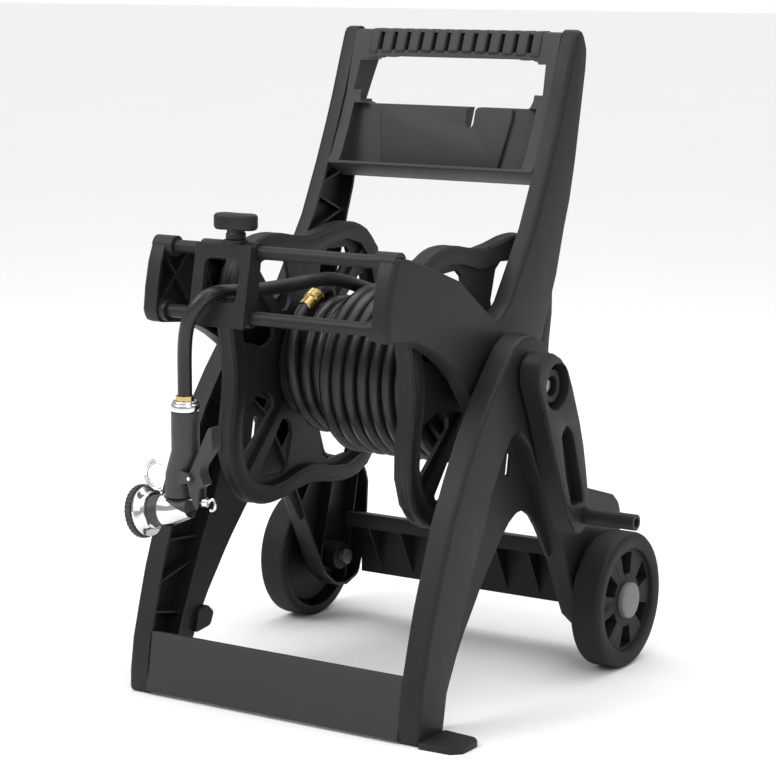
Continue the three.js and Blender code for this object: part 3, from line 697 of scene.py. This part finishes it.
# ---- hose ---------------------------------------------------------------------------------------
@dataclass
class WoundHose:
    """The hose on the drum: one layer out to the crank side and one back over it."""

    start_x: float = -104.0
    start_angle: float = 121.6
    start_radius: float = 94.1
    first_x: float = -92.0
    turn_x: float = 115.5
    end_x: float = -44.0
    inner: float = 86.5
    outer: float = 105.5
    first_turns: float = 10.5
    step_turns: float = 0.35
    settle_turns: float = 0.262
    drop_turns: float = 0.2
    whole_turns: float = 18.885
    sag: float = 1.3
    points_per_turn: int = 44

    def spot(self, turns: float) -> Vector:
        """The centreline after a number of turns."""
        settle = self.settle_turns
        last = self.whole_turns - self.first_turns - self.step_turns
        degrees = self.start_angle + 360.0 * turns
        if turns < self.first_turns:
            x = self.start_x + (self.first_x - self.start_x) * min(1.0, turns / settle)
            share = max(0.0, turns - settle) / (self.first_turns - settle)
            x += (self.turn_x - self.first_x) * share
            ease = smooth_step(turns / self.drop_turns)
            radius = self.start_radius + (self.inner - self.start_radius) * ease
            return round_reel(x + 0.35 * math.sin(2.3 * turns), radius, degrees)
        late = turns - self.first_turns
        share = min(1.0, late / self.step_turns)
        radius = self.inner + (self.outer - self.inner) * smooth_step(share)
        radius += self.sag * share * (1.0 - math.sin(math.radians(degrees)))
        x = self.turn_x + (self.end_x - self.turn_x) * max(0.0, late - self.step_turns) / last
        waver = 0.5 * math.sin(1.7 * late) if late < last else 0.0
        return round_reel(x + waver, radius, degrees)

    def build(self) -> bpy.types.Object:
        count = round(self.whole_turns * self.points_per_turn)
        line = [self.spot(self.whole_turns * i / count) for i in range(count + 1)]
        piece = tube("wound_hose", line, HOSE_R, 5)
        Paint.on(piece, Finish.HOSE)
        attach(piece, "reel")
        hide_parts("hose_winding", "hose_tail")
        round(long_of(line), 2)
        LOG.info("wound hose, %.2f m", long_of(line))
        return piece


@dataclass
class FreeHose:
    """The stretch from the reel through the guide to the nozzle."""

    route: tuple[Point, ...] = (
        (-44, 85, 524), (-45, 75, 527), (-48, 34, 540), (-51, -2, 547), (-54, -39, 548),
        (-57, -74, 547), (-60.5, -122, 547), (-63, -159, 547.5), (-67, -205, 551),
        (-71, -226, 551.5), (-77, -241, 547), (-86, -249, 535), (-95, -252, 518),
        (-101, -251, 500), (-105, -249, 475), (-106, -248, 445), (-106, -248, 406),
    )

    def build(self, on_it: Sequence[bpy.types.Object]) -> bpy.types.Object:
        line = smooth_line([place(*p) for p in self.route], 8)
        piece = tube("free_hose", line, HOSE_R, 6)
        Paint.on(piece, Finish.HOSE)
        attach(piece, "guide")
        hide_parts("hose_lead")
        round(long_of(line), 3)
        LOG.info("free hose, %.2f m", long_of(line))
        return piece


# ---- frame --------------------------------------------------------------------------------------
@dataclass
class CartFrame:
    """Side frames, legs, handle, crossbars and axle."""

    dark: tuple[str, ...] = (
        "side_frame_right", "side_frame_left", "leg_right", "leg_left", "rear_crossbar",
        "step_plate", "guide_bar_upper", "guide_bar_lower", "inlet_tube",
    )
    grey: tuple[str, ...] = ("handle_insert", "front_crossbar")
    steel: tuple[str, ...] = ("axle_pin_right", "axle_pin_left")
    bearings: tuple[str, ...] = ("reel_bearing_right", "reel_bearing_left")

    def build(self) -> None:
        """Dresses the frame's mouldings."""
        leg = Rounding(230.0, 6.0, 4, ((REEL_Y, REEL_Z, 40.0), (250.0, 95.0, 30.0)))
        side = Rounding(190.0, 7.0, 4, ((REEL_Y, REEL_Z, 40.0),))
        roundings = {
            "leg_right": leg, "leg_left": leg, "side_frame_right": side, "side_frame_left": side,
        }
        for names, finish in (
            (self.dark, Finish.DARK), (self.grey, Finish.GREY),
            (self.steel, Finish.STEEL), (self.bearings, Finish.BEARING),
        ):
            for name in names:
                polished(name, "frame", finish, roundings.get(name))
        self.grip()
        self.panel()

    def grip(self) -> None:
        """The lands between the finger slots of the handle's grip."""
        section = [
            (229.5, 841), (235, 835), (244, 832.5), (256, 832.5), (266, 836), (270.5, 846),
            (269, 862), (264.5, 873.4), (243, 873.4), (238.5, 866), (232.5, 850),
        ]
        pitch = 240.0 / 11
        spans = [(pitch * (i - 5) - 7.9, pitch * (i - 5) + 7.9) for i in range(11)]
        spans += [(-138.0, -124.0), (124.0, 138.0)]
        shape = Shape("grip_lands")
        for x0, x1 in spans:
            middle = (x0 + x1) / 2
            arch = 4.0 * (1.0 - (middle / 120.0) ** 2)
            corners = [place(x0, y, z + (arch if z < 845 else 0)) for y, z in section]
            shape.slab(corners, Vector(((x1 - x0) * MM, 0, 0)))
        shape.round_edges(2.2, 3, 40)
        shape.finish("frame", Finish.GREY)

    def panel(self) -> None:
        """The raised middle of the handle's panel, with its hose notch."""
        edge = [
            (-94.4, 684), (94.4, 684), (107, 756), (106, 768), (49, 768), (46.5, 765), (46, 747),
            (44.2, 742), (40.5, 740), (36.8, 742), (35, 747), (34.5, 765), (32, 768), (-106, 768),
            (-107, 756),
        ]
        shape = Shape("handle_panel")
        shape.slab([place(x, 0, z) for x, z in edge], Vector((0, 9 * MM, 0)))
        shape.round_edges(2.6, 3, 30)
        for v in shape.bm.verts:
            v.co.y += (213.6 - (757 - v.co.z / MM) * 0.272) * MM
        shape.finish("frame", Finish.GREY)


# ---- reel ---------------------------------------------------------------------------------------
@dataclass
class Reel:
    """The lobed flanges with their drum, outlet and crank."""

    rim_steps: int = 160
    lobe_mean: float = 200.0
    lobe_swing: float = 26.0
    flange_x: float = 140.0

    def lobed(self, verts: Iterable[bmesh.types.BMVert]) -> None:
        """Moves the points of a round rim out to the four lobes."""
        centre = place(0, REEL_Y, REEL_Z)
        for v in verts:
            y, z = v.co.y - centre.y, v.co.z - centre.z
            r = math.hypot(y, z)
            grown = r + self.lobe_swing * MM * math.cos(4 * (math.atan2(z, y) - math.pi / 4))
            v.co.y = centre.y + y * grown / r
            v.co.z = centre.z + z * grown / r

    def rim(self, side: int) -> None:
        """The rolled rim of one flange, with two ridges round its outside."""
        r = self.lobe_mean
        outside = [
            (-26.6, 10.4), (-25.4, 12.4), (-22.6, 13.4), (-8.6, 13.4), (-5.2, 12.9), (-2.2, 11.6),
            (-0.2, 9.6), (0.5, 7.2), (0.1, 5.0), (-1.4, 3.0), (-3.0, 1.4), (-3.6, 0.0),
        ]
        profile = [(r + a, b) for a, b in outside]
        profile += [(r + a, -b) for a, b in reversed(outside[:-1])]
        profile.append(profile[0])
        shape = Shape("rim_right" if side > 0 else "rim_left")
        start = place(side * self.flange_x, REEL_Y, REEL_Z)
        shape.spin(profile, start, Vector((1, 0, 0)), self.rim_steps)
        self.lobed(shape.bm.verts)
        shape.finish("reel", Finish.DARK)

    def build(self) -> None:
        """Dresses the reel and adds its brass coupling."""
        for name in ("flange_right", "flange_left", "reel_drum", "reel_shaft", "outlet_elbow"):
            polished(name, "reel", Finish.DARK)
        polished("crank_arm", "reel", Finish.DARK, Rounding(264.0, 1.4, 3))
        for name in ("crank_bolt", "grip_pin"):
            polished(name, "reel", Finish.STEEL)
        polished("crank_grip", "crank_grip", Finish.DARK)
        polished("inlet_nut", "inlet_nut", Finish.BRASS)
        self.coupling()

    def coupling(self) -> None:
        """The brass coupling: a knurled collar, a crimped ferrule and a rolled end."""
        shape = Shape("coupling_brass")
        start = place(-104, 48, 516.5)
        run = Vector((0, -0.88, -0.475)).normalized()
        profile: list[tuple[float, float]] = [(6.0, 0.2), (11.2, 0.2), (12.4, 1.4)]
        for i in range(6):
            profile += [(12.6, 2.4 + 2.1 * i), (11.8, 3.4 + 2.1 * i)]
        profile += [(12.4, 15.2), (11.2, 16.4), (10.4, 17.4)]
        for i in range(4):
            profile += [(10.9, 19.0 + 3.6 * i), (10.2, 20.8 + 3.6 * i)]
        profile += [(10.8, 33.2), (9.7, 34.2)]
        shape.spin(profile, start, run, 48)
        shape.finish("reel", Finish.BRASS, ["hose_coupling"])


# ---- wheels -------------------------------------------------------------------------------------
@dataclass
class Wheels:
    """The two wheels and their caps."""

    radius: float = 95.0
    inside: float = 238.0
    outside: float = 282.0
    axle_y: float = 250.0
    face_radius: float = 72.5
    treads: int = 130
    windows: int = 6

    def tyre(self, side: int, body: str) -> None:
        """The tyre with its ribbed tread and rolled shoulders."""
        r, a, b = self.radius, self.inside, self.outside
        profile = [
            (r - 14, a + 2), (r - 6, a + 0.4), (r - 2.4, a + 1.4), (r - 0.6, a + 4), (r, a + 6),
            (r, a + 12), (r, b - 14), (r, b - 7), (r - 0.8, b - 4), (r - 2.8, b - 1.6), (r - 6, b),
            (r - 20, b - 0.6), (r - 22.5, b - 2), (r - 23.5, b - 5), (r - 23.5, b - 12),
        ]
        shape = Shape(f"tyre_{body}")
        centre = place(0, self.axle_y, r)
        axis = Vector((side, 0, 0))
        start = place(0, self.axle_y, r)
        shape.spin(profile, start, axis, self.treads * 2)
        for v in shape.bm.verts:
            y, z = v.co.y - centre.y, v.co.z - centre.z
            from_middle = abs(v.co.x - centre.x) / MM
            if math.hypot(y, z) > (r - 1) * MM and a + 5 < from_middle < b - 6:
                if round(math.atan2(z, y) / math.tau * self.treads * 2) % 2:
                    v.co.y -= y * 0.0062
                    v.co.z -= z * 0.0062
        shape.finish(body, Finish.TYRE, [body])

    def face(self, side: int, body: str) -> None:
        """The recessed face with its windows, and the closed web behind it."""
        shape = Shape(f"wheel_face_{body}")
        angles = [math.radians(d) for d in (-30, -22, -14, -7, 0, 7, 14, 22, 30)]
        rows = [
            [shape.bm.verts.new((0, r * math.cos(a), r * math.sin(a))) for a in angles]
            for r in (23.0, 37.0, 67.0, self.face_radius)
        ]
        for i, (low, high) in enumerate(zip(rows, rows[1:])):
            for k in range(len(angles) - 1):
                if i == 1 and 2 <= k <= 5:
                    continue
                shape.bm.faces.new((low[k], low[k + 1], high[k + 1], high[k]))
        grown = bmesh.ops.extrude_face_region(shape.bm, geom=list(shape.bm.faces))["geom"]
        moved = [v for v in grown if isinstance(v, bmesh.types.BMVert)]
        bmesh.ops.translate(shape.bm, verts=moved, vec=(-16.0, 0, 0))
        unit = list(shape.bm.verts) + list(shape.bm.edges) + list(shape.bm.faces)
        for i in range(1, self.windows):
            copy = bmesh.ops.duplicate(shape.bm, geom=unit)["geom"]
            bmesh.ops.rotate(
                shape.bm, verts=[v for v in copy if isinstance(v, bmesh.types.BMVert)],
                cent=(0, 0, 0), matrix=Matrix.Rotation(math.tau * i / self.windows, 3, "X"),
            )
        bmesh.ops.rotate(
            shape.bm, verts=shape.bm.verts, cent=(0, 0, 0),
            matrix=Matrix.Rotation(math.radians(30), 3, "X"),
        )
        for v in shape.bm.verts:
            crown = 3.0 * (1 - math.hypot(v.co.y, v.co.z) / self.face_radius)
            x = side * (self.outside - 7.0 + v.co.x + crown)
            v.co = place(x, self.axle_y + v.co.y, self.radius + v.co.z)
        bmesh.ops.remove_doubles(shape.bm, verts=shape.bm.verts, dist=1e-6)
        doubled: dict = {}
        for f in shape.bm.faces:
            doubled.setdefault(tuple(round(c, 5) for c in f.calc_center_median()), []).append(f)
        twins = [f for same in doubled.values() if len(same) > 1 for f in same]
        bmesh.ops.delete(shape.bm, geom=twins, context="FACES")
        start = place(0, self.axle_y, self.radius)
        x = self.outside - 25
        web = [(12.0, x), (73.0, x), (73.0, x - 3), (12.0, x - 3)]
        hub = [(10.0, x - 18), (24.0, x - 18), (24.0, x + 16), (10.0, x + 16)]
        for profile, steps in ((web, 64), (hub, 48)):
            shape.spin(profile, start, Vector((side, 0, 0)), steps)
        shape.finish(body, Finish.TYRE)

    def cap(self, side: int, body: str, node: str) -> None:
        """The push-on hub cap with a rolled edge and a slightly crowned face."""
        shape = Shape(f"cap_{body}")
        x = 274.4
        profile = [
            (10.0, x), (24.5, x), (25.2, 276), (25.2, 282.0), (24.4, 283.8), (22.6, 284.7),
            (16, 285.0), (0.02, 285.2),
        ]
        shape.spin(profile, place(0, self.axle_y, self.radius), Vector((side, 0, 0)), 72)
        shape.finish(body, Finish.CAP, [node])

    def build(self) -> None:
        """Builds both wheels."""
        for side, name in ((1, "right"), (-1, "left")):
            body = f"wheel_{name}"
            self.tyre(side, body)
            self.face(side, body)
            self.cap(side, body, f"hub_cap_{name}")


# ---- guide --------------------------------------------------------------------------------------
@dataclass
class Guide:
    """The sliding hose guide and its knob."""

    lobe_gap: float = 17.0
    lobe_radius: float = 14.5

    def build(self) -> None:
        """Dresses the guide."""
        polished("guide_body", "guide", Finish.DARK)
        self.knob()

    def knob(self) -> None:
        """The two-lobed clamp knob on its round stem."""
        shape = Shape("clamp_knob")
        x, y, base = -59.0, -199.0, 618.4
        outer = []
        for side in (1, -1):
            for d in range(-120, 121, 20):
                a = math.radians(d if side > 0 else d + 180)
                across = x + side * self.lobe_gap + self.lobe_radius * math.cos(a)
                outer.append(place(across, y + self.lobe_radius * math.sin(a), base + 12))
        shape.slab(outer, Vector((0, 0, 21 * MM)))
        shape.round_edges(5.0, 4, 60)
        stem = [
            (3.0, -3.4), (5.0, -3.4), (5.0, 0.0), (12.2, 0.0), (13.0, 1.0), (13.0, 7), (11.6, 9),
            (11.6, 14),
        ]
        shape.spin(stem, place(x, y, base), Vector((0, 0, 1)), 40)
        shape.finish("guide_knob", Finish.DARK, ["guide_knob"])


# ---- nozzle -------------------------------------------------------------------------------------
HEAD_TILT = math.radians(9.5)
HEAD_RUN = Vector((-math.cos(HEAD_TILT), 0, -math.sin(HEAD_TILT)))


@dataclass
class Nozzle:
    """The spray nozzle that hangs from the hose."""

    x: float = -106.0
    y: float = -248.0
    z: float = 398.0
    head: Point = (-120.0, -248.0, 268.5)
    knurls: int = 36
    pieces: list[bpy.types.Object] = field(default_factory=list)

    def collar(self) -> None:
        """The plated swivel collar under the hose."""
        shape = Shape("collar_plated")
        profile = [
            (6, 0.4), (16.6, 0.4), (18.2, 1.6), (18.6, 3.0), (18.6, 8.6), (18.0, 10.2),
            (16.8, 11.2), (16.4, 13.4), (15.4, 14.6), (12.4, 14.9), (6.0, 14.9),
        ]
        shape.spin(profile, place(self.x, self.y, self.z), Vector((0, 0, 1)), 64)
        self.pieces.append(shape.finish("guide", Finish.CHROME, ["nozzle_collar"]))

    def front_ring(self) -> None:
        """The scalloped ring round the front of the spray head."""
        shape = Shape("spray_ring")
        profile = [
            (24.0, 55.0), (26.0, 52.6), (33.6, 52.4), (35.2, 53.6), (35.4, 57.0), (35.2, 60.6),
            (33.4, 62.0), (28.6, 62.0), (27.4, 60.4), (25.0, 59.0), (8.0, 57.6), (2.0, 57.4),
        ]
        start = place(*self.head)
        verts = shape.spin(profile, start, HEAD_RUN, self.knurls * 4)
        side = HEAD_RUN.orthogonal().normalized()
        up = HEAD_RUN.cross(side)
        for v in verts:
            flat = v.co - start - HEAD_RUN * (v.co - start).dot(HEAD_RUN)
            if flat.length > 33 * MM:
                turn = math.atan2(flat.dot(up), flat.dot(side))
                v.co += flat.normalized() * (-0.55 * MM * (1 + math.cos(self.knurls * turn)))
        self.pieces.append(shape.finish("spray_head", Finish.KNURL, ["nozzle_ring"]))

    def dish(self) -> None:
        """The flared plated band behind the ring, with a hollow waist."""
        shape = Shape("spray_dish")
        profile = [
            (18.0, 37.5), (22.6, 37.5), (24.0, 38.4), (24.4, 40.0), (25.4, 41.6), (28.2, 43.8),
            (31.6, 45.6), (33.0, 47.0), (33.0, 50.4), (32.2, 51.8), (20.0, 52.0),
        ]
        shape.spin(profile, place(*self.head), HEAD_RUN, 96)
        self.pieces.append(shape.finish("spray_head", Finish.CHROME, ["nozzle_dish"]))

    def wire(self, name: str, route: Sequence[Point], radius: float, node: Sequence[str]) -> None:
        """A bent plated wire on the grip."""
        line = smooth_line([place(*p) for p in route], 8)
        piece = tube(name, line, radius, 4)
        Paint.on(piece, Finish.CHROME)
        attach(piece, "guide")
        if node:
            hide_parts(*node)
        self.pieces.append(piece)
        LOG.info("piece %s on guide", name)

    def hanger(self) -> None:
        """The hanging loop, two wires side by side."""
        y = self.y
        base = [
            (-134, 324), (-145, 327), (-157, 327.5), (-169, 318.5), (-172, 308), (-167.5, 299.5),
            (-157, 293), (-147, 291.5),
        ]
        for name, gap, node in (("hanger_outer", 1.7, ["nozzle_loop"]), ("hanger_inner", -1.7, [])):
            centre = (-152.0, 309.0)
            route = []
            for x, z in base:
                out = Vector((x - centre[0], z - centre[1])).normalized() * gap
                route.append((x + out.x, y, z + out.y))
            self.wire(name, route, 1.75, node)

    def build(self) -> list[bpy.types.Object]:
        """Builds the nozzle and returns its pieces."""
        for name, body, finish in (
            ("hose_ferrule", "guide", Finish.BRASS), ("nozzle_body", "guide", Finish.NOZZLE),
            ("nozzle_barrel", "guide", Finish.CHROME), ("nozzle_trigger", "trigger", Finish.NOZZLE),
            ("trigger_pin", "guide", Finish.CHROME), ("flow_stem", "flow_stem", Finish.CHROME),
            ("nozzle_neck", "guide", Finish.NOZZLE),
        ):
            self.pieces.append(polished(name, body, finish))
        self.collar()
        self.pieces.insert(2, self.pieces.pop())
        self.dish()
        self.front_ring()
        self.hanger()
        return self.pieces


def main() -> None:
    """Builds the cart's sub-assemblies in order."""
    logging.basicConfig(level=logging.INFO, format="%(name)s: %(message)s")
    Camera().build()
    WoundHose().build()
    nozzle = Nozzle()
    FreeHose().build(nozzle.build())
    reel = Reel()
    for step in (Studio().build, CartFrame().build, reel.build, Wheels().build, Guide().build):
        step()
    for side in (-1, 1):
        reel.rim(side)


if __name__ == "__main__":
    main()
